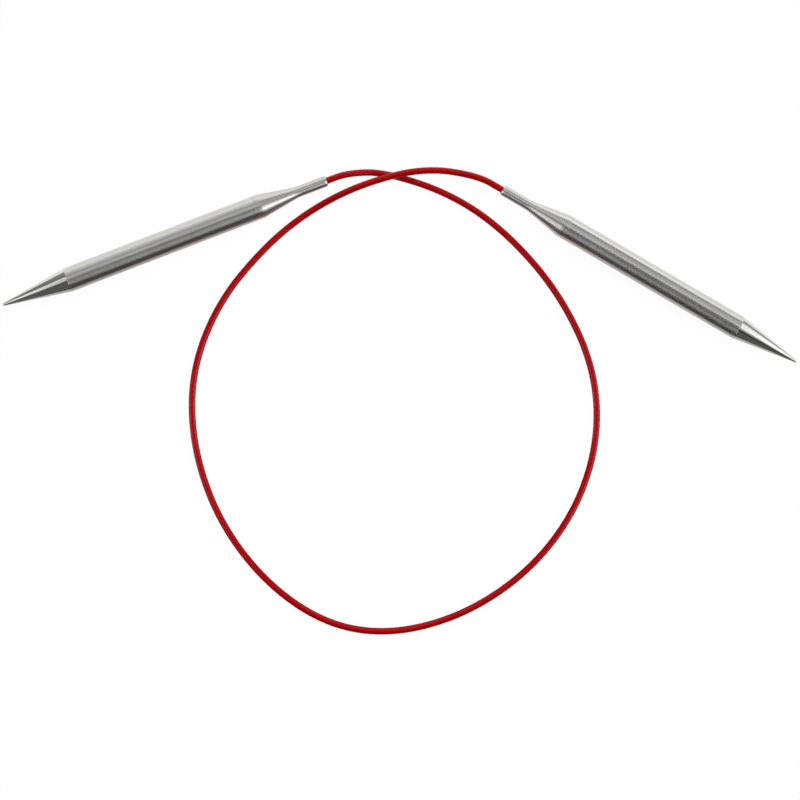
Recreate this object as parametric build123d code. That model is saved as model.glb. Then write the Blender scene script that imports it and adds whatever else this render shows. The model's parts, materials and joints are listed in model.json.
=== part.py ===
from build123d import *
import math
import os

# Circular knitting needle: two steel needles joined by a long flexible cable.
# It lies flat, resting on Z = 0, with +Z up. Lengths are in millimetres.
# A needle is drawn along its own axis, with x = 0 at the mouth where the cable goes in
# and x = NEEDLE_LENGTH at the nose, and is then turned and moved to where it lies.

# Needle, outside
NEEDLE_DIAMETER = 9.0
NEEDLE_LENGTH = 127.0
POINT_LENGTH = 25.5
NOSE_RADIUS = 0.55
NECK_DIAMETER = 4.0
NECK_STRAIGHT = 11.7
NECK_CONE_END = 26.0
NECK_LENGTH = 28.0
NECK_BLEND_RADII = (20.0, 8.0)
LIP_DIAMETER = 2.9
LIP_LENGTH = 0.8

# Needle, inside
WALL = 0.5
SPIGOT_LENGTH = 6.0
SPIGOT_CHAMFER = 0.5
NECK_CAVITY_START = 22.0
NECK_CAVITY_RADIUS = 3.0
WEB_START = 10.0
WEB_END = 13.5

# Cable
CABLE_DIAMETER = 2.5
ROPE_DIAMETER = 1.5
CORE_DIAMETER = 0.5
JACKET_SEAT = 9.0
ROPE_SEAT = 19.0

# Crimp sleeve and bond round the rope's end
SLEEVE_DIAMETER = 3.2
SLEEVE_END = 19.5
CRIMP_WIDTH = 0.9
CRIMP_DEPTH = 0.15
CRIMP_PLACES = (15.0, 17.1)
RUNNING_GAP = 0.05
ROPE_GAP = 0.03

# Where the needles lie: the mouth's place in plan, and the heading from mouth to point
# in degrees anticlockwise from +X
LEFT_MOUTH = (-28.3, 32.6)
LEFT_HEADING = -158.8
RIGHT_MOUTH = (36.7, 29.6)
RIGHT_HEADING = -30.0

# The cable's route. It leaves each needle straight, rests at LOW, and passes once over
# itself at OVER, between the two points of a long hump.
LEFT_EXIT = 6.0
RIGHT_EXIT = 10.5
LOW = CABLE_DIAMETER / 2
OVER = 7.4
LOOP = [
    (-7.0, 37.5, LOW),
    (18.0, 28.5, LOW),
    (38.5, 14.0, LOW),
    (58.0, -8.5, LOW),
    (71.0, -35.5, LOW),
    (73.0, -62.5, LOW),
    (64.5, -89.0, LOW),
    (47.0, -111.5, LOW),
    (22.5, -127.5, LOW),
    (-4.5, -134.5, LOW),
    (-28.5, -131.0, LOW),
    (-51.0, -115.5, LOW),
    (-68.5, -92.0, LOW),
    (-78.0, -64.5, LOW),
    (-78.5, -37.5, LOW),
    (-68.5, -12.0, LOW),
    (-51.5, 8.5, LOW),
    (-35.0, 22.0, LOW),
    (-16.0, 32.0, OVER),
    (7.5, 38.5, OVER),
]

# Sizes that follow
NEEDLE_RADIUS = NEEDLE_DIAMETER / 2
SPIGOT_RADIUS = NEEDLE_RADIUS - WALL
NECK_RADIUS = NECK_DIAMETER / 2
SHOULDER = NEEDLE_LENGTH - POINT_LENGTH
CABLE_RADIUS = CABLE_DIAMETER / 2
ROPE_RADIUS = ROPE_DIAMETER / 2
CORE_RADIUS = CORE_DIAMETER / 2
MOUTH_BORE_RADIUS = CABLE_RADIUS + RUNNING_GAP
WEB_BORE_RADIUS = ROPE_RADIUS + RUNNING_GAP
SLEEVE_RADIUS = SLEEVE_DIAMETER / 2
SLEEVE_BORE_RADIUS = ROPE_RADIUS + ROPE_GAP
SLEEVE_POCKET_RADIUS = SLEEVE_RADIUS + RUNNING_GAP


def turned(outline):
    """Revolve a closed half outline, drawn as (x, radius), about the needle's axis."""
    return revolve(make_face(outline), Axis.X)


def closed(points):
    """A closed outline of straight lines through the points."""
    return Polyline(*points, points[0])


def make_point():
    """Solid cone with a rounded nose, and the spigot that is pressed into the shaft."""
    nose_centre = NEEDLE_LENGTH - NOSE_RADIUS
    reach = math.hypot(nose_centre - SHOULDER, NEEDLE_RADIUS)
    slope = math.atan2(NEEDLE_RADIUS, nose_centre - SHOULDER) - math.asin(NOSE_RADIUS / reach)
    slope_degrees = math.degrees(slope)
    spigot_end = SHOULDER - SPIGOT_LENGTH
    nose = CenterArc((nose_centre, 0), NOSE_RADIUS, 0, 90 - slope_degrees)
    body = Polyline(
        nose @ 0,
        (spigot_end, 0),
        (spigot_end, SPIGOT_RADIUS - SPIGOT_CHAMFER),
        (spigot_end + SPIGOT_CHAMFER, SPIGOT_RADIUS),
        (SHOULDER, SPIGOT_RADIUS),
        (SHOULDER, NEEDLE_RADIUS),
        nose @ 1,
    )
    return turned(body + nose)


def make_shaft():
    """Plain tube between the neck and the point."""
    return turned(closed([
        (NECK_LENGTH, SPIGOT_RADIUS),
        (NECK_LENGTH, NEEDLE_RADIUS),
        (SHOULDER, NEEDLE_RADIUS),
        (SHOULDER, SPIGOT_RADIUS),
    ]))


def make_neck():
    """Neck that narrows from the shaft to the cable, bored in steps from both ends."""
    lip_radius = LIP_DIAMETER / 2
    lip = EllipticalCenterArc(
        center=(LIP_LENGTH, lip_radius),
        x_radius=LIP_LENGTH,
        y_radius=NECK_RADIUS - lip_radius,
        start_angle=90,
        arc_size=90,
    )
    outside = FilletPolyline(
        (LIP_LENGTH, NECK_RADIUS),
        (NECK_STRAIGHT, NECK_RADIUS),
        (NECK_CONE_END, NEEDLE_RADIUS),
        (NECK_LENGTH, NEEDLE_RADIUS),
        radius=list(NECK_BLEND_RADII),
    )
    spigot_end = NECK_LENGTH + SPIGOT_LENGTH
    inside = Polyline(
        (NECK_LENGTH, NEEDLE_RADIUS),
        (NECK_LENGTH, SPIGOT_RADIUS),
        (spigot_end - SPIGOT_CHAMFER, SPIGOT_RADIUS),
        (spigot_end, SPIGOT_RADIUS - SPIGOT_CHAMFER),
        (spigot_end, NECK_CAVITY_RADIUS),
        (NECK_CAVITY_START, NECK_CAVITY_RADIUS),
        (NECK_CAVITY_START, SLEEVE_POCKET_RADIUS),
        (WEB_END, SLEEVE_POCKET_RADIUS),
        (WEB_END, WEB_BORE_RADIUS),
        (WEB_START, WEB_BORE_RADIUS),
        (WEB_START, MOUTH_BORE_RADIUS),
        (0, MOUTH_BORE_RADIUS),
        (0, lip_radius),
    )
    return turned(lip + outside + inside)


def make_crimp_sleeve():
    """Sleeve squeezed on the rope's end in two rings. It bears on the web."""
    outer = [(WEB_END, SLEEVE_BORE_RADIUS), (WEB_END, SLEEVE_RADIUS)]
    for place in CRIMP_PLACES:
        outer += [
            (place, SLEEVE_RADIUS),
            (place, SLEEVE_RADIUS - CRIMP_DEPTH),
            (place + CRIMP_WIDTH, SLEEVE_RADIUS - CRIMP_DEPTH),
            (place + CRIMP_WIDTH, SLEEVE_RADIUS),
        ]
    outer += [(SLEEVE_END, SLEEVE_RADIUS), (SLEEVE_END, SLEEVE_BORE_RADIUS)]
    return turned(closed(outer))


def make_bond():
    """Ring of hardened adhesive between the jacket's end and the web."""
    start = JACKET_SEAT + RUNNING_GAP
    return turned(closed([
        (start, SLEEVE_BORE_RADIUS),
        (start, MOUTH_BORE_RADIUS),
        (WEB_START, MOUTH_BORE_RADIUS),
        (WEB_START, SLEEVE_BORE_RADIUS),
    ]))


def on_needle(mouth, heading, distance):
    """Point on a lying needle's axis, at a distance from its mouth towards the nose."""
    angle = math.radians(heading)
    x = mouth[0] + distance * math.cos(angle)
    y = mouth[1] + distance * math.sin(angle)
    return Vector(x, y, NEEDLE_RADIUS)


def cable_route():
    """The jacket's route: seated in the left needle, round the loop, into the right."""
    start = [on_needle(LEFT_MOUTH, LEFT_HEADING, d) for d in (JACKET_SEAT, -LEFT_EXIT)]
    end = [on_needle(RIGHT_MOUTH, RIGHT_HEADING, d) for d in (-RIGHT_EXIT, JACKET_SEAT)]
    return start + [Vector(*point) for point in LOOP] + end


def arc_radii(points):
    """Radius of the tangent arc at each corner: as large as its two runs allow."""
    radii = []
    for before, corner, after in zip(points, points[1:], points[2:]):
        run_in = corner - before
        run_out = after - corner
        turn = math.radians(run_in.get_angle(run_out))
        shorter = min(run_in.length, run_out.length)
        radii.append(0.45 * shorter / math.tan(turn / 2))
    return radii


def swept(points, radii, radius, bore=0.0):
    """Round rod, or a tube if it has a bore, along straight runs and tangent arcs."""
    path = FilletPolyline(*points, radius=radii)
    start = Plane(origin=path @ 0, z_dir=path % 0)
    rod = sweep(start * Circle(radius), path=path)
    if bore:
        rod -= sweep(start * Circle(bore), path=path)
    section = math.pi * (radius ** 2 - bore ** 2)
    print(f"swept length {path.length:.1f}, volume over section times length "
          f"{rod.volume / (section * path.length):.5f}")
    return rod


def make_cable():
    """Jacket, laid strands and core. The rope runs past the jacket into the sleeves."""
    points = cable_route()
    radii = arc_radii(points)
    print("arc radii", [round(radius, 1) for radius in radii])
    rope_points = list(points)
    rope_points[0] = on_needle(LEFT_MOUTH, LEFT_HEADING, ROPE_SEAT)
    rope_points[-1] = on_needle(RIGHT_MOUTH, RIGHT_HEADING, ROPE_SEAT)
    return {
        "cable_jacket": swept(points, radii, CABLE_RADIUS, ROPE_RADIUS),
        "outer_strands": swept(rope_points, radii, ROPE_RADIUS, CORE_RADIUS),
        "core_strand": swept(rope_points, radii, CORE_RADIUS),
    }


def make_needle(side, mouth, heading):
    """One needle's pieces, turned to its heading and laid on the surface."""
    place = Location((mouth[0], mouth[1], NEEDLE_RADIUS), (0, 0, heading))
    pieces = {
        "point": make_point(),
        "shaft": make_shaft(),
        "neck": make_neck(),
        "crimp_sleeve": make_crimp_sleeve(),
        "bond": make_bond(),
    }
    return {f"{side}_{name}": place * piece for name, piece in pieces.items()}


nodes = {
    **make_needle("left", LEFT_MOUTH, LEFT_HEADING),
    **make_needle("right", RIGHT_MOUTH, RIGHT_HEADING),
    **make_cable(),
}

os.makedirs("parts", exist_ok=True)
for node, solid in nodes.items():
    export_step(solid, f"parts/{node}.step")
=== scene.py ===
"""A circular knitting needle: two ground steel needles joined by one coated cable.

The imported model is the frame, in metres. Each needle is drawn along its own axis, with
x = 0 at the mouth where the cable goes in and x growing towards the nose, and is set
where its shank mount says. The cable follows one smooth line from mouth to mouth.
"""

import json
import logging
import math
from dataclasses import dataclass, field
from enum import Enum

import bmesh
import bpy
import numpy as np
from mathutils import Matrix, Vector

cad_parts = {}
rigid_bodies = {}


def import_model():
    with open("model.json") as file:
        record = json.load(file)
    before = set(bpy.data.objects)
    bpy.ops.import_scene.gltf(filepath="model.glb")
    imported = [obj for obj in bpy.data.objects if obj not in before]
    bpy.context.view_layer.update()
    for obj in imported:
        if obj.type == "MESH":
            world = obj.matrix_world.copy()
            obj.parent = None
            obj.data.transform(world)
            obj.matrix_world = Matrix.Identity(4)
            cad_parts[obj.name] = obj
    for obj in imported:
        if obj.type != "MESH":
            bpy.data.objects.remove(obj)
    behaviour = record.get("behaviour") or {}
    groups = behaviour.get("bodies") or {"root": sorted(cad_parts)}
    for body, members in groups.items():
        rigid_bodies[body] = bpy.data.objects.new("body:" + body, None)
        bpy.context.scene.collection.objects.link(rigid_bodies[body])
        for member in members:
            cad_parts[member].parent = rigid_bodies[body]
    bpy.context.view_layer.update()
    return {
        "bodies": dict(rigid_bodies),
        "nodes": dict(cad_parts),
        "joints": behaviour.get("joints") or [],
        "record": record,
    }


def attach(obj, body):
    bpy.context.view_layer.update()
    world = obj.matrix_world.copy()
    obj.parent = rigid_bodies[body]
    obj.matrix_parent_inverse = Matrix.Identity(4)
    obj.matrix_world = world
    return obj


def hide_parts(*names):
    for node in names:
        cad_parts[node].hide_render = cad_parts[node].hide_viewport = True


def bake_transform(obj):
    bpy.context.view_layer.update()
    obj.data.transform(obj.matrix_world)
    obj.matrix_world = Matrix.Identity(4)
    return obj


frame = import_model()

LOG = logging.getLogger("circular_needle")
MM = 0.001
SHARP_EDGE = math.radians(50)
SAME_PLACE = 1e-7


class Side(Enum):
    """Which of the two needles."""

    LEFT = "left"
    RIGHT = "right"


class Lay(Enum):
    """The hand of a rope's twist, as the sign of its turn along the line."""

    RIGHT_HAND = 1.0
    LEFT_HAND = -1.0


class Ends(Enum):
    """How a surface's first and last rings are finished."""

    POLES = "poles"
    CAPS = "caps"
    LOOPED = "looped"


# ---------------------------------------------------------------- surfaces


def ring_mesh(name: str, rings: np.ndarray, along: np.ndarray, ends: Ends) -> bpy.types.Object:
    """Make a closed mesh from a grid of rings.

    Quad (i, j) joins ring i to ring i + 1 between the places j and j + 1 round the ring,
    and the last place joins the first. POLES takes the first and the last ring as single
    points, CAPS closes each with a fan to its middle, and LOOPED joins the last ring to
    the first. The UV map holds the share of the turn in u, and `along` in v.

    Args:
        name: the object's name.
        rings: points, of shape (rings, places, 3), in metres.
        along: distance along the surface of each ring, in metres.
        ends: how the first and last rings are finished.

    Returns:
        The new object, smooth shaded, with its normals outwards.
    """
    count, places, _ = rings.shape
    points = rings.reshape(-1, 3)
    ring = np.arange(count if ends is Ends.LOOPED else count - 1)[:, None]
    place = np.arange(places)[None, :]
    next_ring = (ring + 1) % count
    next_place = (place + 1) % places
    quads = np.stack(
        [
            ring * places + place,
            ring * places + next_place,
            next_ring * places + next_place,
            next_ring * places + place,
        ],
        axis=-1,
    ).reshape(-1, 4)
    turns = np.stack([place, place + 1, place + 1, place], -1) / places
    u = np.broadcast_to(turns, ring.shape[:1] + (places, 4))
    v_low = np.broadcast_to(along[ring], (len(ring), places))
    v_high = np.broadcast_to(along[next_ring], (len(ring), places))
    if ends is Ends.LOOPED:
        v_high = np.where(next_ring == 0, v_low, v_high)
    v = np.stack([v_low, v_low, v_high, v_high], -1)
    quad_uv = np.stack([u, v], -1).reshape(-1, 4, 2)
    faces = quads.tolist()
    uv = quad_uv.reshape(-1, 2)
    if ends is Ends.CAPS:
        middles = np.stack([rings[0].mean(0), rings[-1].mean(0)])
        first, last = len(points), len(points) + 1
        points = np.concatenate([points, middles])
        around = np.arange(places)
        after = (around + 1) % places
        start = np.stack([np.full(places, first), after, around], -1)
        tail = (count - 1) * places
        finish = np.stack([np.full(places, last), tail + around, tail + after], -1)
        faces += start.tolist() + finish.tolist()
        share = around / places
        cap_uv = [
            np.stack([share, np.full(places, along[i])], -1).repeat(3, axis=0) for i in (0, -1)
        ]
        uv = np.concatenate([uv, *cap_uv])
    mesh = bpy.data.meshes.new(name)
    mesh.from_pydata(points.tolist(), [], faces)
    layer = mesh.uv_layers.new(name="surface")
    layer.data.foreach_set("uv", uv.astype(np.float32).ravel())
    mesh.update()
    if ends is Ends.POLES:
        merge_doubles(mesh)
    mesh.shade_smooth()
    mesh.set_sharp_from_angle(angle=SHARP_EDGE)
    obj = bpy.data.objects.new(name, mesh)
    bpy.context.scene.collection.objects.link(obj)
    return obj


def merge_doubles(mesh: bpy.types.Mesh) -> None:
    """Join points that lie in one place, which closes the poles and drops flat faces.

    Args:
        mesh: the mesh to clean.
    """
    work = bmesh.new()
    work.from_mesh(mesh)
    bmesh.ops.remove_doubles(work, verts=work.verts, dist=SAME_PLACE)
    work.to_mesh(mesh)
    work.free()


def rounded_outline(corners: list, segments: int = 6) -> np.ndarray:
    """Round the corners of a turned outline.

    Each corner (x, r, radius) becomes an arc tangent to its two runs: its points are at
    centre + radius * (cos a, sin a), with the angle a spread evenly between the tangent
    points. A corner of radius 0 stays a point. Next to each arc a point on the run keeps
    the run's shading straight.

    Args:
        corners: (x, radius from the axis, corner radius), in mm.
        segments: steps in each arc.

    Returns:
        The outline's points (x, r) in mm.
    """
    outline = []
    for i, (x, r, radius) in enumerate(corners):
        corner = np.array([x, r])
        if radius == 0 or i in (0, len(corners) - 1):
            outline.append(corner[None])
            continue
        before = np.array(corners[i - 1][:2]) - corner
        after = np.array(corners[i + 1][:2]) - corner
        before_unit = before / np.linalg.norm(before)
        after_unit = after / np.linalg.norm(after)
        half = math.acos(float(np.clip(before_unit @ after_unit, -1, 1))) / 2
        reach = radius / math.tan(half)
        middle = before_unit + after_unit
        centre = corner + middle / np.linalg.norm(middle) * radius / math.sin(half)
        start, stop = (corner + unit * reach - centre for unit in (before_unit, after_unit))
        begin = math.atan2(start[1], start[0])
        turn = math.atan2(start[0] * stop[1] - start[1] * stop[0], start @ stop)
        angles = begin + turn * np.linspace(0, 1, segments + 1)
        arc = centre + radius * np.stack([np.cos(angles), np.sin(angles)], -1)
        support = min(0.3 * radius + 0.05, 0.2)
        lead = corner + before_unit * (reach + support)
        trail = corner + after_unit * (reach + support)
        outline.append(np.concatenate([lead[None], arc, trail[None]]))
    return np.concatenate(outline)


# ---------------------------------------------------------------- shared shader effects


def node_group(name: str, inputs: dict, outputs: list) -> tuple:
    """Start a shader node group with named float inputs.

    Args:
        name: the group's name.
        inputs: each float input's name and its default.
        outputs: names of the float outputs.

    Returns:
        The group, its input node and its output node.
    """
    group = bpy.data.node_groups.new(name, "ShaderNodeTree")
    for label, default in inputs.items():
        socket = group.interface.new_socket(label, in_out="INPUT", socket_type="NodeSocketFloat")
        socket.default_value = default
    for label in outputs:
        group.interface.new_socket(label, in_out="OUTPUT", socket_type="NodeSocketFloat")
    return group, group.nodes.new("NodeGroupInput"), group.nodes.new("NodeGroupOutput")


@dataclass
class Wiring:
    """Short ways to add nodes to a tree and join them."""

    tree: bpy.types.NodeTree

    def add(self, kind: str, **settings: object) -> bpy.types.Node:
        """Add a node and set its properties.

        Args:
            kind: the node's type.
            settings: its properties and their values.

        Returns:
            The node.
        """
        node = self.tree.nodes.new(kind)
        for key, value in settings.items():
            setattr(node, key, value)
        return node

    def join(self, source: object, target: object) -> None:
        """Link an output socket to an input socket."""
        self.tree.links.new(source, target)

    def feed(self, node: bpy.types.Node, values: tuple) -> object:
        """Set or link a node's inputs in order.

        Args:
            node: the node.
            values: sockets or numbers, one for each input.

        Returns:
            The node's first output socket.
        """
        for socket, value in zip(node.inputs, values):
            if isinstance(value, (int, float)):
                socket.default_value = value
            else:
                self.join(value, socket)
        return node.outputs[0]

    def math(self, operation: str, *values: object) -> object:
        """Add a Math node fed with sockets or numbers, and return its output socket."""
        return self.feed(self.add("ShaderNodeMath", operation=operation), values)

    def vector(self, *values: object) -> object:
        """Join three sockets or numbers into a vector and return its socket."""
        return self.feed(self.add("ShaderNodeCombineXYZ"), values)

    def noise(self, place: object, detail: float, roughness: float) -> object:
        """Add a 3-D noise of scale 1.

        Args:
            place: the socket of the place to read it at.
            detail: how many finer layers it has.
            roughness: how strong each finer layer is.

        Returns:
            The socket of its value, about 0.5 on average.
        """
        node = self.add("ShaderNodeTexNoise", noise_dimensions="3D")
        node.inputs["Scale"].default_value = 1.0
        node.inputs["Detail"].default_value = detail
        node.inputs["Roughness"].default_value = roughness
        self.join(place, node.inputs["Vector"])
        return node.outputs["Fac"]

    def surface_place(self) -> tuple:
        """Read the piece's own UV map.

        Returns:
            The sockets of the share of the turn and of the distance along.
        """
        split = self.add("ShaderNodeSeparateXYZ")
        self.join(self.add("ShaderNodeUVMap", uv_map="surface").outputs["UV"], split.inputs[0])
        return split.outputs[0], split.outputs[1]

    def wrapped(self, turn: object, along: object, round_scale: object, along_scale: object) -> object:
        """A seamless place on a turned surface.

        The share of the turn is laid on a circle of radius `round_scale`, and the
        distance along is multiplied by `along_scale`, so no seam shows.

        Args:
            turn: the share of the turn.
            along: the distance along.
            round_scale: the circle's radius.
            along_scale: the scale of the distance.

        Returns:
            The socket of the place.
        """
        angle = self.math("MULTIPLY", turn, 2 * math.pi)
        x = self.math("MULTIPLY", self.math("COSINE", angle), round_scale)
        y = self.math("MULTIPLY", self.math("SINE", angle), round_scale)
        return self.vector(x, y, self.math("MULTIPLY", along, along_scale))


def ground_finish_group() -> bpy.types.NodeTree:
    """Grinding: fine rings round the piece and faint flats drawn out along it.

    Returns:
        A group with Height, about 0 to 1, and Dullness, about -0.5 to 0.5.
    """
    group, given, out = node_group(
        "ground_finish",
        {"Ring Scale": 9000.0, "Ring Share": 0.4, "Draw Scale": 6.0},
        ["Height", "Dullness"],
    )
    wire = Wiring(group)
    turn, along = wire.surface_place()
    rings = wire.noise(wire.wrapped(turn, along, 1.5, given.outputs["Ring Scale"]), 3.0, 0.6)
    drawn = wire.noise(wire.wrapped(turn, along, given.outputs["Draw Scale"], 9.0), 3.0, 0.55)
    share = given.outputs["Ring Share"]
    rest = wire.math("SUBTRACT", 1.0, share)
    height = wire.math("ADD", wire.math("MULTIPLY", rings, share), wire.math("MULTIPLY", drawn, rest))
    wire.join(height, out.inputs["Height"])
    patches = wire.noise(wire.wrapped(turn, along, 2.5, 260.0), 4.0, 0.6)
    mixed = wire.math("ADD", wire.math("MULTIPLY", rings, 0.5), wire.math("MULTIPLY", patches, 0.5))
    wire.join(wire.math("SUBTRACT", mixed, 0.5), out.inputs["Dullness"])
    return group


def handling_group() -> bpy.types.NodeTree:
    """Handling: soft smears and small scuffs that change how a surface shines.

    Returns:
        A group with Smear, about -0.5 to 0.5, and Scuff, 0 to 1.
    """
    group, given, out = node_group(
        "handling", {"Smear Scale": 70.0, "Scuff Scale": 900.0}, ["Smear", "Scuff"]
    )
    wire = Wiring(group)
    turn, along = wire.surface_place()
    smear = wire.noise(wire.wrapped(turn, along, 0.6, given.outputs["Smear Scale"]), 3.0, 0.5)
    wire.join(wire.math("SUBTRACT", smear, 0.5), out.inputs["Smear"])
    scuff = wire.noise(wire.wrapped(turn, along, 3.0, given.outputs["Scuff Scale"]), 2.0, 0.5)
    ramp = wire.add("ShaderNodeMapRange")
    ramp.inputs["From Min"].default_value = 0.62
    ramp.inputs["From Max"].default_value = 0.74
    wire.join(scuff, ramp.inputs["Value"])
    wire.join(ramp.outputs["Result"], out.inputs["Scuff"])
    return group


def strand_group() -> bpy.types.NodeTree:
    """Strands laid round a line, seen as slanting ribs.

    The rib height is 0.5 + 0.5 cos(count * turn angle - hand * 2 pi * count * along / lay).

    Returns:
        A group with Rib, 0 between strands and 1 on a strand's crown.
    """
    group, given, out = node_group("laid_strands", {"Count": 6.0, "Lay": 0.011, "Hand": 1.0}, ["Rib"])
    wire = Wiring(group)
    turn, along = wire.surface_place()
    advance = wire.math("MULTIPLY", wire.math("DIVIDE", along, given.outputs["Lay"]), given.outputs["Hand"])
    phase = wire.math("MULTIPLY", wire.math("SUBTRACT", turn, advance), given.outputs["Count"])
    wave = wire.math("COSINE", wire.math("MULTIPLY", phase, 2 * math.pi))
    wire.join(wire.math("MULTIPLY_ADD", wave, 0.5, 0.5), out.inputs["Rib"])
    return group


@dataclass
class SharedEffects:
    """The node groups that the finishes place with their own values."""

    ground: bpy.types.NodeTree = field(default_factory=ground_finish_group)
    handling: bpy.types.NodeTree = field(default_factory=handling_group)
    strands: bpy.types.NodeTree = field(default_factory=strand_group)


def new_material(name: str) -> tuple:
    """Start a node material.

    Args:
        name: the material's name.

    Returns:
        The material, its wiring and its Principled node.
    """
    material = bpy.data.materials.new(name)
    material.use_nodes = True
    wire = Wiring(material.node_tree)
    principled = material.node_tree.nodes["Principled BSDF"]
    return material, wire, principled


def place_group(wire: Wiring, group: bpy.types.NodeTree, **values: float) -> bpy.types.Node:
    """Place a shared group in a material with its own values.

    Args:
        wire: the material's wiring.
        group: the shared group.
        values: input values, with underscores for the spaces in their names.

    Returns:
        The group node.
    """
    node = wire.add("ShaderNodeGroup", node_tree=group)
    for label, value in values.items():
        node.inputs[label.replace("_", " ")].default_value = value
    return node


def bump_normal(wire: Wiring, principled: bpy.types.Node, height: object, depth: float) -> None:
    """Feed a height through a Bump node into the Principled node's normal.

    Args:
        wire: the material's wiring.
        principled: the Principled node.
        height: the height socket, about 0 to 1.
        depth: the real depth of a height of 1, in metres.
    """
    bump = wire.add("ShaderNodeBump")
    bump.inputs["Strength"].default_value = 1.0
    bump.inputs["Distance"].default_value = depth
    wire.join(height, bump.inputs["Height"])
    wire.join(bump.outputs["Normal"], principled.inputs["Normal"])


def blend_colours(wire: Wiring, principled: bpy.types.Node, share: object, low: tuple, high: tuple) -> None:
    """Feed a blend of two colours into the Principled node's base colour.

    Args:
        wire: the material's wiring.
        principled: the Principled node.
        share: the socket of the second colour's share.
        low: the colour at a share of 0.
        high: the colour at a share of 1.
    """
    mix = wire.add("ShaderNodeMix", data_type="RGBA", clamp_factor=True)
    mix.inputs[6].default_value = low
    mix.inputs[7].default_value = high
    wire.join(share, mix.inputs["Factor"])
    wire.join(mix.outputs[2], principled.inputs["Base Color"])


# ---------------------------------------------------------------- finishes


@dataclass(frozen=True)
class GroundSteel:
    """Stainless steel ground round and polished to a bright satin."""

    name: str
    roughness: float
    anisotropy: float
    depth: float
    colour: tuple = (0.695, 0.69, 0.655, 1.0)
    roughness_swing: float = 0.05
    smear_swing: float = 0.05
    ring_scale: float = 5000.0
    ring_share: float = 0.2
    draw_scale: float = 6.0

    def build(self, effects: SharedEffects) -> bpy.types.Material:
        """Make the material.

        Args:
            effects: the shared node groups.

        Returns:
            The material.
        """
        material, wire, principled = new_material(self.name)
        principled.inputs["Base Color"].default_value = self.colour
        principled.inputs["Metallic"].default_value = 1.0
        ground = place_group(
            wire,
            effects.ground,
            Ring_Scale=self.ring_scale,
            Ring_Share=self.ring_share,
            Draw_Scale=self.draw_scale,
        )
        handled = place_group(wire, effects.handling)
        dull = wire.math("MULTIPLY_ADD", ground.outputs["Dullness"], self.roughness_swing, self.roughness)
        dull = wire.math("MULTIPLY_ADD", handled.outputs["Smear"], self.smear_swing, dull)
        wire.join(dull, principled.inputs["Roughness"])
        principled.inputs["Anisotropic"].default_value = self.anisotropy
        # A quarter turn spreads the highlight along the piece instead of round it.
        principled.inputs["Anisotropic Rotation"].default_value = 0.25
        tangent = wire.add("ShaderNodeTangent", direction_type="UV_MAP", uv_map="surface")
        wire.join(tangent.outputs[0], principled.inputs["Tangent"])
        bump_normal(wire, principled, ground.outputs["Height"], self.depth)
        return material


@dataclass(frozen=True)
class RedNylon:
    """Crimson nylon coat, tight enough on its rope for the strands to show through, with painted shade of
    the ribs between the strands.
    """

    name: str = "cable_red"
    crown: tuple = (0.425, 0.0, 0.002, 1.0)
    valley: tuple = (0.25, 0.0, 0.001, 1.0)
    roughness: float = 0.11
    smear_swing: float = 0.10
    smear_scale: float = 180.0
    scuff_scale: float = 1400.0
    scuff_depth: float = 4.0e-6
    shade_swing: float = 0.7
    tint: tuple = (1.0, 0.35, 0.40, 1.0)
    strand_count: float = 6.0
    lay: float = 11.0 * MM
    hand: Lay = Lay.RIGHT_HAND

    def build(self, effects: SharedEffects) -> bpy.types.Material:
        """Make the material.

        Args:
            effects: the shared node groups.

        Returns:
            The material.
        """
        material, wire, principled = new_material(self.name)
        strands = place_group(
            wire, effects.strands, Count=self.strand_count, Lay=self.lay, Hand=self.hand.value
        )
        handled = place_group(
            wire, effects.handling, Smear_Scale=self.smear_scale, Scuff_Scale=self.scuff_scale
        )
        smear = handled.outputs["Smear"]
        # Painted shade: the colour is darker between the strands and lighter on their crowns. This is
        # partly the strands seen through the coat and partly painted shade of the ribs. The smear adds tone
        # that differs at random.
        shade = wire.math("MULTIPLY_ADD", smear, self.shade_swing, strands.outputs["Rib"])
        blend_colours(wire, principled, shade, self.valley, self.crown)
        rough = wire.math("MULTIPLY_ADD", smear, self.smear_swing, self.roughness)
        wire.join(rough, principled.inputs["Roughness"])
        principled.inputs["Specular Tint"].default_value = self.tint
        bump_normal(wire, principled, handled.outputs["Scuff"], self.scuff_depth)
        return material


@dataclass(frozen=True)
class DrawnWire:
    """Bright drawn steel wire."""

    name: str = "rope_steel"
    colour: tuple = (0.55, 0.55, 0.56, 1.0)
    roughness: float = 0.28

    def build(self, effects: SharedEffects) -> bpy.types.Material:
        """Make the material.

        Args:
            effects: the shared node groups.

        Returns:
            The material.
        """
        material, wire, principled = new_material(self.name)
        principled.inputs["Base Color"].default_value = self.colour
        principled.inputs["Metallic"].default_value = 1.0
        ground = place_group(wire, effects.ground, Ring_Scale=400.0, Ring_Share=0.2, Draw_Scale=9.0)
        dull = wire.math("MULTIPLY_ADD", ground.outputs["Dullness"], 0.2, self.roughness)
        wire.join(dull, principled.inputs["Roughness"])
        bump_normal(wire, principled, ground.outputs["Height"], 1.5e-6)
        return material


@dataclass(frozen=True)
class PlainGrain:
    """A hidden part's finish: an even colour broken by fine grain in the piece's own space."""

    name: str
    low: tuple
    high: tuple
    metallic: float
    roughness: float
    grain_scale: float

    def build(self) -> bpy.types.Material:
        """Make the material.

        Returns:
            The material.
        """
        material, wire, principled = new_material(self.name)
        place = wire.add("ShaderNodeTexCoord").outputs["Object"]
        scaled = wire.add("ShaderNodeVectorMath", operation="SCALE")
        scaled.inputs["Scale"].default_value = self.grain_scale
        wire.join(place, scaled.inputs[0])
        grain = wire.noise(scaled.outputs[0], 4.0, 0.6)
        blend_colours(wire, principled, grain, self.low, self.high)
        principled.inputs["Metallic"].default_value = self.metallic
        rough = wire.math("MULTIPLY_ADD", grain, 0.3, self.roughness - 0.15)
        wire.join(rough, principled.inputs["Roughness"])
        bump_normal(wire, principled, grain, 6.0e-6)
        return material


# ---------------------------------------------------------------- needles


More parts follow.
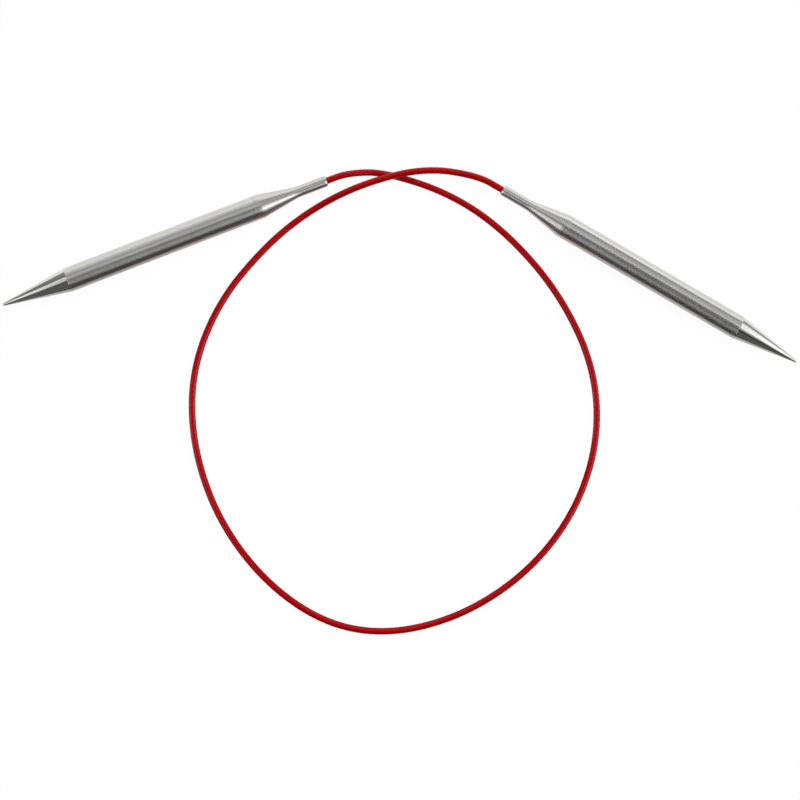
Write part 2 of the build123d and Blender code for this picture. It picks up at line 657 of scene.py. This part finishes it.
@dataclass
class SteelNeedle:
    """One needle: its point, shaft and neck, and the two hidden pieces in its neck."""

    side: Side
    mouth: np.ndarray
    forward: np.ndarray
    radius: float = 4.5
    length: float = 127.0
    shoulder: float = 101.5
    nose_radius: float = 0.55
    wall: float = 0.5
    spigot: float = 6.0
    neck_radius: float = 2.0
    neck_straight: float = 11.7
    neck_cone_end: float = 26.0
    neck_length: float = 28.0
    lip_radius: float = 1.45
    mouth_bore: float = 1.30
    web_bore: float = 0.80
    pocket: float = 1.65
    cavity: float = 3.0
    cavity_start: float = 22.0
    pocket_start: float = 13.5
    web_start: float = 10.0
    lip_length: float = 0.8
    neck_fillet: float = 20.0
    shoulder_fillet: float = 8.0
    chamfer: float = 0.5
    edge: float = 0.06
    soft_edge: float = 0.1
    fine_edge: float = 0.05
    bore_seam: tuple = (65.0, 66.0)
    places: int = 160

    @classmethod
    def from_frame(cls, side: Side, frame: dict) -> "SteelNeedle":
        """Set a needle where its shank mount lies.

        Args:
            side: which needle.

        Returns:
            The needle, ready to build.
        """
        mounts = {mount["name"]: mount for mount in frame["record"]["mounts"]}
        shank = mounts[f"{side.value}_shank"]
        forward = np.array(shank["axis"]) / np.linalg.norm(shank["axis"])
        middle = (cls.neck_length + cls.shoulder) / 2 * MM
        return cls(side, np.array(shank["pos_m"]) - forward * middle, forward)

    @property
    def body(self) -> str:
        """The moving body that the needle's pieces belong to."""
        return f"{self.side.value}_needle"

    def on_axis(self, distance: float) -> np.ndarray:
        """The point on the axis at a distance from the mouth, in mm, towards the nose."""
        return self.mouth + self.forward * distance * MM

    def turned(self, name: str, outline: np.ndarray, ends: Ends) -> bpy.types.Object:
        """Turn an outline about the needle's axis.

        A point (x, r) at the turn angle a goes to mouth + x * forward
        + r * (cos a * sideways + sin a * up).

        Args:
            name: the piece's name, without its side.
            outline: points (x, r) in mm, with the metal on the right of the way along.
            ends: how the outline's ends are finished.

        Returns:
            The piece, riding on the needle's body.
        """
        angles = np.linspace(0, 2 * math.pi, self.places, endpoint=False)
        up = np.array([0.0, 0.0, 1.0])
        sideways = np.cross(up, self.forward)
        spokes = np.cos(angles)[:, None] * sideways + np.sin(angles)[:, None] * up
        x, r = outline[:, 0] * MM, outline[:, 1] * MM
        rings = self.mouth + x[:, None, None] * self.forward + r[:, None, None] * spokes[None]
        steps = np.linalg.norm(np.diff(outline, axis=0), axis=1) * MM
        along = np.concatenate([[0.0], np.cumsum(steps)])
        piece = ring_mesh(f"{self.side.value}_{name}_turned", rings, along, ends)
        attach(piece, self.body)
        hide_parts(f"{self.side.value}_{name}")
        return piece

    def build_point(self) -> bpy.types.Object:
        """Solid cone with a round nose and the spigot inside the shaft.

        Returns:
            The point's piece.
        """
        spigot_radius = self.radius - self.wall
        start = self.shoulder - self.spigot
        centre = self.length - self.nose_radius
        reach = math.hypot(centre - self.shoulder, self.radius)
        slope = math.atan2(self.radius, centre - self.shoulder) - math.asin(self.nose_radius / reach)
        turn = np.linspace(math.pi / 2 - slope, 0, 12)
        nose = np.stack([centre + self.nose_radius * np.cos(turn), self.nose_radius * np.sin(turn)], -1)
        steel = rounded_outline(
            [
                (start, 0, 0),
                (start, spigot_radius - self.chamfer, self.soft_edge),
                (start + self.chamfer, spigot_radius, self.soft_edge),
                (self.shoulder, spigot_radius, 0),
                (self.shoulder, self.radius, self.edge),
                (nose[0, 0], nose[0, 1], 0),
            ]
        )
        return self.turned("point", np.concatenate([steel, nose[1:]]), Ends.POLES)

    def build_shaft(self) -> bpy.types.Object:
        """Plain tube with its rims just broken.

        Returns:
            The shaft's piece.
        """
        inner = self.radius - self.wall
        outline = rounded_outline(
            [
                (self.bore_seam[0], inner, 0),
                (self.neck_length, inner, self.fine_edge),
                (self.neck_length, self.radius, self.edge),
                (self.shoulder, self.radius, self.edge),
                (self.shoulder, inner, self.fine_edge),
                (self.bore_seam[1], inner, 0),
            ]
        )
        return self.turned("shaft", outline, Ends.LOOPED)

    def build_neck(self) -> bpy.types.Object:
        """Neck from the rounded lip at the mouth to the spigot, bored in steps.

        Returns:
            The neck's piece.
        """
        spigot_radius = self.radius - self.wall
        end = self.neck_length + self.spigot
        lip = np.linspace(math.pi, math.pi / 2, 9)
        drop = self.neck_radius - self.lip_radius
        mouth = np.stack(
            [self.lip_length + self.lip_length * np.cos(lip), self.lip_radius + drop * np.sin(lip)], -1
        )
        rest = rounded_outline(
            [
                (self.lip_length, self.neck_radius, 0),
                (self.neck_straight, self.neck_radius, self.neck_fillet),
                (self.neck_cone_end, self.radius, self.shoulder_fillet),
                (self.neck_length, self.radius, self.edge),
                (self.neck_length, spigot_radius, 0),
                (end - self.chamfer, spigot_radius, self.soft_edge),
                (end, spigot_radius - self.chamfer, self.soft_edge),
                (end, self.cavity, self.fine_edge),
                (self.cavity_start, self.cavity, self.soft_edge),
                (self.cavity_start, self.pocket, self.fine_edge),
                (self.pocket_start, self.pocket, self.soft_edge),
                (self.pocket_start, self.web_bore, self.fine_edge),
                (self.web_start, self.web_bore, self.fine_edge),
                (self.web_start, self.mouth_bore, self.soft_edge),
                (0.0, self.mouth_bore, 0),
            ],
            segments=10,
        )
        return self.turned("neck", np.concatenate([mouth, rest[1:]]), Ends.LOOPED)

    def dress(self, frame: dict, finishes: dict) -> None:
        """Build the turned pieces and give every piece its finish.

        Args:
            finishes: the materials of the point, shaft, neck, crimp_sleeve and bond.
        """
        turned = {"point": self.build_point(), "shaft": self.build_shaft(), "neck": self.build_neck()}
        for part, piece in turned.items():
            piece.data.materials.append(finishes[part])
            LOG.info("%s: %d faces", piece.name, len(piece.data.polygons))
        for part in ("crimp_sleeve", "bond"):
            hidden = frame["nodes"][f"{self.side.value}_{part}"]
            for slot in hidden.material_slots:
                slot.material = finishes[part]
            LOG.info("%s dressed", hidden.name)


# ---------------------------------------------------------------- cable


@dataclass(frozen=True)
class CableLine:
    """The cable's centre line with two directions square to it, carried without twist.

    level = up x tangent and upright = tangent x level, each made one unit long. The line
    never stands up, so both turn only as the line does.
    """

    points: np.ndarray
    along: np.ndarray
    level: np.ndarray
    upright: np.ndarray

    @classmethod
    def through(cls, points: np.ndarray) -> "CableLine":
        """Work out the distances and directions of a line.

        Args:
            points: the line's points, in metres.

        Returns:
            The line.
        """
        steps = np.linalg.norm(np.diff(points, axis=0), axis=1)
        along = np.concatenate([[0.0], np.cumsum(steps)])
        tangent = np.gradient(points, along, axis=0)
        tangent /= np.linalg.norm(tangent, axis=1)[:, None]
        level = np.cross([0.0, 0.0, 1.0], tangent)
        level /= np.linalg.norm(level, axis=1)[:, None]
        return cls(points, along, level, np.cross(tangent, level))

    def cut(self, start: float, stop: float, every: int = 1) -> "CableLine":
        """Keep the part between two distances, and its two ends.

        Args:
            start: where the part starts, in metres along the line.
            stop: where it stops.
            every: take one point in so many.

        Returns:
            The part, with its distances as they were.
        """
        first, last = np.searchsorted(self.along, [start, stop])
        last = min(last, len(self.along) - 1)
        keep = np.unique(np.append(np.arange(first, last, every), last))
        return CableLine(self.points[keep], self.along[keep], self.level[keep], self.upright[keep])

    def led_on(self, before: float, after: float, step: float) -> "CableLine":
        """Carry the line straight on at both ends.

        Args:
            before: the length added before the start, in metres.
            after: the length added after the end, in metres.
            step: about how far apart the added points are, in metres.

        Returns:
            The longer line, on which the old start stays at distance 0.
        """
        head, tail = self.points[1] - self.points[0], self.points[-1] - self.points[-2]
        head /= np.linalg.norm(head)
        tail /= np.linalg.norm(tail)
        front = np.linspace(before, 0, max(2, round(before / step)), endpoint=False)[:, None]
        back = np.linspace(after, 0, max(2, round(after / step)), endpoint=False)[::-1, None]
        points = np.concatenate([self.points[0] - front * head, self.points, self.points[-1] + back * tail])
        line = CableLine.through(points)
        return CableLine(line.points, line.along - before, line.level, line.upright)

    def spokes(self, angles: np.ndarray) -> np.ndarray:
        """Unit directions square to the line: cos a * level + sin a * upright.

        Args:
            angles: the angles a, of shape (rings or 1, places).

        Returns:
            The directions, of shape (rings, places, 3).
        """
        across = np.cos(angles)[..., None] * self.level[:, None]
        above = np.sin(angles)[..., None] * self.upright[:, None]
        return across + above


@dataclass(frozen=True)
class Stretch:
    """A run of the cable that is made as one set of pieces."""

    name: str
    start: float
    stop: float
    needle: SteelNeedle | None = None
    flex: float = 0.0


@dataclass
class CoatedCable:
    """The cable: a nylon jacket on six wire strands laid round a core wire."""

    left: SteelNeedle
    right: SteelNeedle
    radius: float = 1.25
    bore: float = 0.75
    strand_radius: float = 0.25
    strand_circle: float = 0.5
    core_radius: float = 0.25
    jacket_seat: float = 9.0
    rope_seat: float = 19.0
    guide: float = 1.0
    left_exit: float = 8.0
    right_exit: float = 10.5
    low: float = 1.25
    over: float = 4.15
    lay: float = 11.0
    hand: Lay = Lay.RIGHT_HAND
    strands: int = 6
    rib: float = 0.022
    left_flex: float = 24.0
    right_flex: float = 30.0
    fineness: int = 78
    places: int = 48
    bore_every: int = 5
    rope_every: int = 2
    strand_places: int = 10
    core_places: int = 14
    lead_step: float = 0.5

    def route(self) -> list:
        """The line's control points, in mm: straight out of each neck, then round the loop.

        The cable lies on the surface but for one long low hump, where it passes over
        itself between the last two points of the loop.

        Returns:
            The points, from the left neck to the right one.
        """
        low, over = self.low, self.over
        loop = [
            (-7.0, 36.4, low),
            (18.0, 28.3, low),
            (38.6, 14.1, low),
            (58.2, -8.3, low),
            (71.2, -35.4, low),
            (73.0, -62.5, low),
            (64.6, -89.1, low),
            (47.2, -111.7, low),
            (22.6, -128.0, low),
            (-4.5, -135.0, low),
            (-28.5, -131.1, low),
            (-51.0, -115.5, low),
            (-68.5, -92.0, low),
            (-77.7, -64.5, low),
            (-78.0, -37.5, low),
            (-68.2, -12.2, low),
            (-51.3, 8.3, low),
            (-35.0, 21.7, low),
            (-16.0, 31.4, over),
            (7.5, 37.7, over),
        ]
        start = [self.left.on_axis(d) / MM for d in (self.jacket_seat, self.guide, -self.left_exit)]
        end = [self.right.on_axis(d) / MM for d in (-self.right_exit, self.guide, self.jacket_seat)]
        return start + [np.array(point) for point in loop] + end

    def line(self) -> CableLine:
        """The smooth line through the route: a quadratic NURBS spline.

        Returns:
            The line, from the left neck to the right one.
        """
        points = np.array(self.route()) * MM
        curve = bpy.data.curves.new("cable_line", "CURVE")
        curve.dimensions = "3D"
        spline = curve.splines.new("NURBS")
        spline.points.add(len(points) - 1)
        spline.points.foreach_set("co", np.c_[points, np.ones(len(points))].astype(np.float32).ravel())
        spline.order_u = 3
        spline.use_endpoint_u = True
        spline.resolution_u = self.fineness
        carrier = bpy.data.objects.new("cable_line", curve)
        bpy.context.scene.collection.objects.link(carrier)
        mesh = bpy.data.meshes.new_from_object(carrier)
        places = np.zeros(len(mesh.vertices) * 3, np.float32)
        mesh.vertices.foreach_get("co", places)
        bpy.data.objects.remove(carrier)
        bpy.data.meshes.remove(mesh)
        return CableLine.through(places.reshape(-1, 3).astype(float))

    def stretches(self, length: float) -> list:
        """The two ends, one at each needle, and the loop between them.

        Args:
            length: the line's length, in metres.

        Returns:
            The stretches from left to right, with distances in metres.
        """
        left_seam = (self.jacket_seat + 2 * self.left_flex) * MM
        right_seam = length - (self.jacket_seat + 2 * self.right_flex) * MM
        return [
            Stretch("left_cable_end", 0.0, left_seam, self.left, self.left_flex),
            Stretch("cable_loop", left_seam, right_seam),
            Stretch("right_cable_end", right_seam, length, self.right, self.right_flex),
        ]

    def jacket(self, stretch: Stretch, line: CableLine) -> bpy.types.Object:
        """The coat: a tube whose outside swells over each strand and whose bore is plain.

        The outside is line + r * spoke(a), with r = radius - rib * (1 - cos(n * (a -
        hand * 2 pi * along / lay))) / 2 and n strands, and the bore is line + bore * spoke(a).

        Args:
            stretch: which stretch.
            line: the whole cable's line.

        Returns:
            The coat's piece.
        """
        outer = line.cut(stretch.start, stretch.stop)
        inner = line.cut(stretch.start, stretch.stop, self.bore_every)
        angles = np.linspace(0, 2 * math.pi, self.places, endpoint=False)[None]
        advance = self.hand.value * 2 * math.pi * outer.along[:, None] / (self.lay * MM)
        radius = self.radius - self.rib * (1 - np.cos(self.strands * (angles - advance))) / 2
        outside = outer.points[:, None] + radius[..., None] * MM * outer.spokes(angles)
        bore = inner.points[:, None] + self.bore * MM * inner.spokes(angles)
        rings = np.concatenate([outside, bore[::-1]])
        along = np.concatenate([outer.along, inner.along[::-1]])
        return ring_mesh(f"{stretch.name}_jacket", rings, along, Ends.LOOPED)

    def rope(self, stretch: Stretch, line: CableLine) -> bpy.types.Object:
        """Six strands laid round the core, each a tube along its own helix.

        Strand k runs along line + circle * spoke(2 pi k / n + hand * 2 pi * along / lay).
        Its rings lie square to that helix, which leans from the line by
        atan(2 pi * circle / lay).

        Args:
            stretch: which stretch.
            line: the rope's line.

        Returns:
            The rope's piece.
        """
        run = line.cut(stretch.start, stretch.stop, self.rope_every)
        advance = self.hand.value * 2 * math.pi * run.along / (self.lay * MM)
        lean = self.hand.value * math.atan(2 * math.pi * self.strand_circle / self.lay)
        turns = np.linspace(0, 2 * math.pi, self.strand_places, endpoint=False)[None]
        pieces = []
        for k in range(self.strands):
            angle = (2 * math.pi * k / self.strands + advance)[:, None]
            outward = run.spokes(angle)
            around = run.spokes(angle + math.pi / 2)
            tangent = np.cross(run.level, run.upright)[:, None]
            square = math.cos(lean) * around - math.sin(lean) * tangent
            helix = run.points[:, None] + self.strand_circle * MM * outward
            rings = helix + self.strand_radius * MM * (
                np.cos(turns)[..., None] * outward + np.sin(turns)[..., None] * square
            )
            pieces.append(ring_mesh(f"{stretch.name}_strand_{k}", rings, run.along, Ends.CAPS))
        return joined(f"{stretch.name}_strands", pieces)

    def core(self, stretch: Stretch, line: CableLine) -> bpy.types.Object:
        """The core wire: line + core radius * spoke(a).

        Args:
            stretch: which stretch.
            line: the rope's line.

        Returns:
            The core's piece.
        """
        run = line.cut(stretch.start, stretch.stop, self.rope_every)
        angles = np.linspace(0, 2 * math.pi, self.core_places, endpoint=False)[None]
        rings = run.points[:, None] + self.core_radius * MM * run.spokes(angles)
        return ring_mesh(f"{stretch.name}_core", rings, run.along, Ends.CAPS)

    def attach(self, piece: bpy.types.Object, stretch: Stretch) -> None:
        """Let a piece of the loop ride on the cable; a piece of an end stays where it lies, with its
        transform baked in.

        Args:
            piece: the finished piece.
            stretch: the stretch that it belongs to.
        """
        if stretch.needle is None:
            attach(piece, "cable")
            return
        start = stretch.needle.on_axis(-stretch.flex)
        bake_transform(piece)

    def dress(self, nylon: bpy.types.Material, wire: bpy.types.Material) -> None:
        """Args:
            nylon: the coat's finish.
            wire: the strands' and the core's finish.
        """
        line = self.line()
        length = float(line.along[-1])
        spare = (self.rope_seat - self.jacket_seat) * MM
        inside = line.led_on(spare, spare, self.lead_step * MM)
        LOG.info("cable line %.1f mm from seat to seat", length / MM)
        for stretch in self.stretches(length):
            longer = Stretch(
                stretch.name,
                stretch.start - (spare if stretch.needle is self.left else 0.0),
                stretch.stop + (spare if stretch.needle is self.right else 0.0),
                stretch.needle,
                stretch.flex,
            )
            made = (
                (self.jacket(stretch, line), nylon, "cable_red", "cable_jacket"),
                (self.rope(longer, inside), wire, "rope_steel", "outer_strands"),
                (self.core(longer, inside), wire, "rope_steel", "core_strand"),
            )
            for piece, material, slot, node in made:
                piece.data.materials.append(material)
                self.attach(piece, stretch)
                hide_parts(node)
                LOG.info("%s: %d faces", piece.name, len(piece.data.polygons))
            path = line.cut(stretch.start, stretch.stop)


def joined(name: str, pieces: list) -> bpy.types.Object:
    """Make one object of several meshes, keeping their UV maps.

    Args:
        name: the new object's name.
        pieces: the objects to join, which are used up.

    Returns:
        The joined object.
    """
    work = bmesh.new()
    for piece in pieces:
        work.from_mesh(piece.data)
        bpy.data.meshes.remove(piece.data)
    mesh = bpy.data.meshes.new(name)
    work.to_mesh(mesh)
    work.free()
    mesh.shade_smooth()
    mesh.set_sharp_from_angle(angle=SHARP_EDGE)
    obj = bpy.data.objects.new(name, mesh)
    bpy.context.scene.collection.objects.link(obj)
    return obj


# ---------------------------------------------------------------- studio


@dataclass(frozen=True)
class DomeLight:
    """A soft round light on the dome: its direction and half width in degrees, and brightness.

    Its brightness falls from the middle to the rim as a smooth step of the cosine of the
    angle from its middle.
    """

    zenith: float
    azimuth: float
    half: float
    radiance: float

    def glow(self, wire: Wiring, direction: object) -> object:
        """Add the light's nodes to the dome.

        Args:
            wire: the dome's wiring.
            direction: the socket of the looked-in direction.

        Returns:
            The socket of the light's brightness in that direction.
        """
        high, turn = math.radians(self.zenith), math.radians(self.azimuth)
        near = wire.add("ShaderNodeVectorMath", operation="DOT_PRODUCT")
        wire.join(direction, near.inputs[0])
        near.inputs[1].default_value = (
            math.sin(high) * math.cos(turn),
            math.sin(high) * math.sin(turn),
            math.cos(high),
        )
        step = wire.add("ShaderNodeMapRange", interpolation_type="SMOOTHSTEP")
        step.inputs["From Min"].default_value = math.cos(math.radians(self.half))
        step.inputs["To Max"].default_value = self.radiance
        wire.join(near.outputs["Value"], step.inputs["Value"])
        return step.outputs["Result"]


@dataclass
class Studio:
    """A pale floor, a soft dome with lights on it, and the camera above.

    The first two lights were set for the sides of the cable. The other eighteen
    are the output of a least-squares fit of dome lights to the bands on the steel.
    """

    aim: tuple = (-0.001, -0.0481, 0.0)
    eye: tuple = (-0.0401, -0.0481, 0.799)
    lens: float = 97.01
    clip: tuple = (0.05, 50.0)
    floor_radius: float = 8.0
    floor_corners: int = 96
    floor_colour: tuple = (0.04, 0.04, 0.04, 1.0)
    floor_glow: float = 0.955
    # The floor's glow in reflections, a painted reflection: dim in front, bright behind.
    floor_mirrored: tuple = (0.0, 0.87)
    floor_ramp: tuple = (0.008, 0.056)
    floor_spread: float = 0.48
    floor_lean: float = 0.08
    fill: float = 1.3
    fill_width: float = 70.0
    fill_from: tuple = (0.0, 0.6, 1.0)
    dome: tuple = (0.0, 0.24)
    dome_front: float = -0.7
    backdrop: float = 0.97
    lights: tuple = (
        DomeLight(80, 180, 14, 4.0),
        DomeLight(80, 0, 14, 4.0),
        DomeLight(54, 338, 20, 2.20),
        DomeLight(78, 195, 14, 1.98),
        DomeLight(48, 204, 28, 1.23),
        DomeLight(60, 10, 28, 0.98),
        DomeLight(54, 343, 40, 0.91),
        DomeLight(84, 83, 40, 0.83),
        DomeLight(78, 116, 14, 0.76),
        DomeLight(36, 165, 14, 0.74),
        DomeLight(78, 55, 20, 0.74),
        DomeLight(30, 192, 14, 0.59),
        DomeLight(36, 350, 14, 0.57),
        DomeLight(54, 112, 20, 0.48),
        DomeLight(84, 333, 28, 0.42),
        DomeLight(24, 90, 28, 0.37),
        DomeLight(12, 60, 14, 0.30),
        DomeLight(78, 220, 14, 0.22),
        DomeLight(84, 270, 14, 0.12),
        DomeLight(54, 259, 28, 0.11),
    )

    def camera(self) -> None:
        """Set the camera above the loop, with +Y upwards in its view."""
        data = bpy.data.cameras.new("camera")
        data.lens = self.lens
        data.sensor_width = 36.0
        data.clip_start, data.clip_end = self.clip
        eye, aim = Vector(self.eye), Vector(self.aim)
        back = (eye - aim).normalized()
        across = Vector((0, 1, 0)).cross(back).normalized()
        turn = Matrix((across, back.cross(across), back)).transposed()
        camera = bpy.data.objects.new("camera", data)
        camera.matrix_world = Matrix.Translation(eye) @ turn.to_4x4()
        bpy.context.scene.collection.objects.link(camera)
        bpy.context.scene.camera = camera

    def floor(self) -> None:
        """A round floor: a fan of points at radius * (cos a, sin a)."""
        corners = self.floor_corners
        angles = np.linspace(0, 2 * math.pi, corners, endpoint=False)
        rim = self.floor_radius * np.stack([np.cos(angles), np.sin(angles), np.zeros(corners)], -1)
        around = np.arange(corners)
        faces = np.stack([np.full(corners, corners), around, (around + 1) % corners], -1)
        mesh = bpy.data.meshes.new("floor")
        mesh.from_pydata(np.concatenate([rim, [[0.0, 0.0, 0.0]]]).tolist(), [], faces.tolist())
        mesh.update()
        mesh.materials.append(self.floor_paper())
        disc = bpy.data.objects.new("floor", mesh)
        bpy.context.scene.collection.objects.link(disc)

    def floor_paper(self) -> bpy.types.Material:
        """Pale glowing paper, with faint shadows, and a painted reflection: seen in reflections it glows
        dimly in front and brightly behind.

        In reflections its glow rises evenly over the ramp of y + spread * |x| + lean * x.

        Returns:
            The floor's material.
        """
        material, wire, principled = new_material("floor_paper")
        principled.inputs["Base Color"].default_value = self.floor_colour
        principled.inputs["Roughness"].default_value = 1.0
        principled.inputs["Specular IOR Level"].default_value = 0.0
        principled.inputs["Emission Color"].default_value = (1.0, 1.0, 1.0, 1.0)
        split = wire.add("ShaderNodeSeparateXYZ")
        wire.join(wire.add("ShaderNodeTexCoord").outputs["Object"], split.inputs[0])
        aside = wire.math("ABSOLUTE", split.outputs[0])
        ahead = wire.math("MULTIPLY_ADD", aside, self.floor_spread, split.outputs[1])
        ahead = wire.math("MULTIPLY_ADD", split.outputs[0], self.floor_lean, ahead)
        # Painted reflection: the glow that reflections see, dim in front of the needles and bright behind
        # them.
        mirrored = wire.add("ShaderNodeMapRange")
        mirrored.inputs["From Min"].default_value = self.floor_ramp[0]
        mirrored.inputs["From Max"].default_value = self.floor_ramp[1]
        mirrored.inputs["To Min"].default_value = self.floor_mirrored[0]
        mirrored.inputs["To Max"].default_value = self.floor_mirrored[1]
        wire.join(ahead, mirrored.inputs["Value"])
        glow = wire.add("ShaderNodeMix", data_type="FLOAT")
        glow.inputs[2].default_value = self.floor_glow
        wire.join(wire.add("ShaderNodeLightPath").outputs["Is Glossy Ray"], glow.inputs[0])
        wire.join(mirrored.outputs["Result"], glow.inputs[3])
        wire.join(glow.outputs[0], principled.inputs["Emission Strength"])
        return material

    def world(self) -> None:
        """A soft dome, dim in front and brighter behind, and a pale backdrop to the eye."""
        world = bpy.data.worlds.new("dome")
        world.use_nodes = True
        wire = Wiring(world.node_tree)
        background = world.node_tree.nodes["Background"]
        direction = wire.add("ShaderNodeTexCoord").outputs["Generated"]
        split = wire.add("ShaderNodeSeparateXYZ")
        wire.join(direction, split.inputs[0])
        slope = wire.add("ShaderNodeMapRange")
        slope.inputs["From Min"].default_value = self.dome_front
        slope.inputs["To Min"].default_value = self.dome[0]
        slope.inputs["To Max"].default_value = self.dome[1]
        wire.join(split.outputs[1], slope.inputs["Value"])
        glow = slope.outputs["Result"]
        for light in self.lights:
            glow = wire.math("ADD", glow, light.glow(wire, direction))
        seen = wire.add("ShaderNodeMix", data_type="FLOAT")
        seen.inputs[3].default_value = self.backdrop
        wire.join(wire.add("ShaderNodeLightPath").outputs["Is Camera Ray"], seen.inputs[0])
        wire.join(glow, seen.inputs[2])
        wire.join(seen.outputs[0], background.inputs["Strength"])
        background.inputs["Color"].default_value = (1.0, 1.0, 1.0, 1.0)
        bpy.context.scene.world = world

    def fill_light(self) -> None:
        """A very broad light from above that evens the floor and adds no reflection."""
        lamp = bpy.data.lights.new("fill", "SUN")
        lamp.energy = self.fill
        lamp.angle = math.radians(self.fill_width)
        sun = bpy.data.objects.new("fill", lamp)
        sun.rotation_mode = "QUATERNION"
        sun.rotation_quaternion = Vector(self.fill_from).to_track_quat("Z", "Y")
        sun.visible_glossy = False
        sun.visible_camera = False
        bpy.context.scene.collection.objects.link(sun)

    def build(self) -> None:
        """Make the camera, the floor and the lights."""
        self.camera()
        self.floor()
        self.world()
        self.fill_light()
        bpy.context.scene.view_settings.view_transform = "Standard"


def main() -> None:
    """Build the studio, the cable and the needles, and report each piece."""
    Studio().build()
    effects = SharedEffects()
    nylon = RedNylon().build(effects)
    wire = DrawnWire().build(effects)
    finishes = {
        # The point's steel is a lighter copy of the shaft's, a painted highlight that brightens the bands
        # on the cone.
        "point": GroundSteel(
            "point_steel_painted_highlight", roughness=0.14, anisotropy=0.28, depth=0.03e-6, colour=(0.80, 0.795, 0.765, 1.0)
        ).build(effects),
        "shaft": GroundSteel(
            "shaft_steel", roughness=0.24, anisotropy=0.93, depth=0.08e-6
        ).build(effects),
        "neck": GroundSteel(
            "neck_steel", roughness=0.255, anisotropy=0.95, depth=0.05e-6
        ).build(effects),
        "crimp_sleeve": PlainGrain(
            "sleeve_metal",
            low=(0.50, 0.50, 0.49, 1.0),
            high=(0.62, 0.62, 0.60, 1.0),
            metallic=1.0,
            roughness=0.38,
            grain_scale=4000.0,
        ).build(),
        "bond": PlainGrain(
            "bond_resin",
            low=(0.30, 0.20, 0.09, 1.0),
            high=(0.42, 0.30, 0.15, 1.0),
            metallic=0.0,
            roughness=0.35,
            grain_scale=2500.0,
        ).build(),
    }
    left, right = (SteelNeedle.from_frame(side, frame) for side in Side)
    CoatedCable(left, right).dress(nylon, wire)
    for needle in (left, right):
        needle.dress(frame, finishes)


if __name__ == "__main__":
    logging.basicConfig(level=logging.INFO, format="%(name)s: %(message)s")
    main()
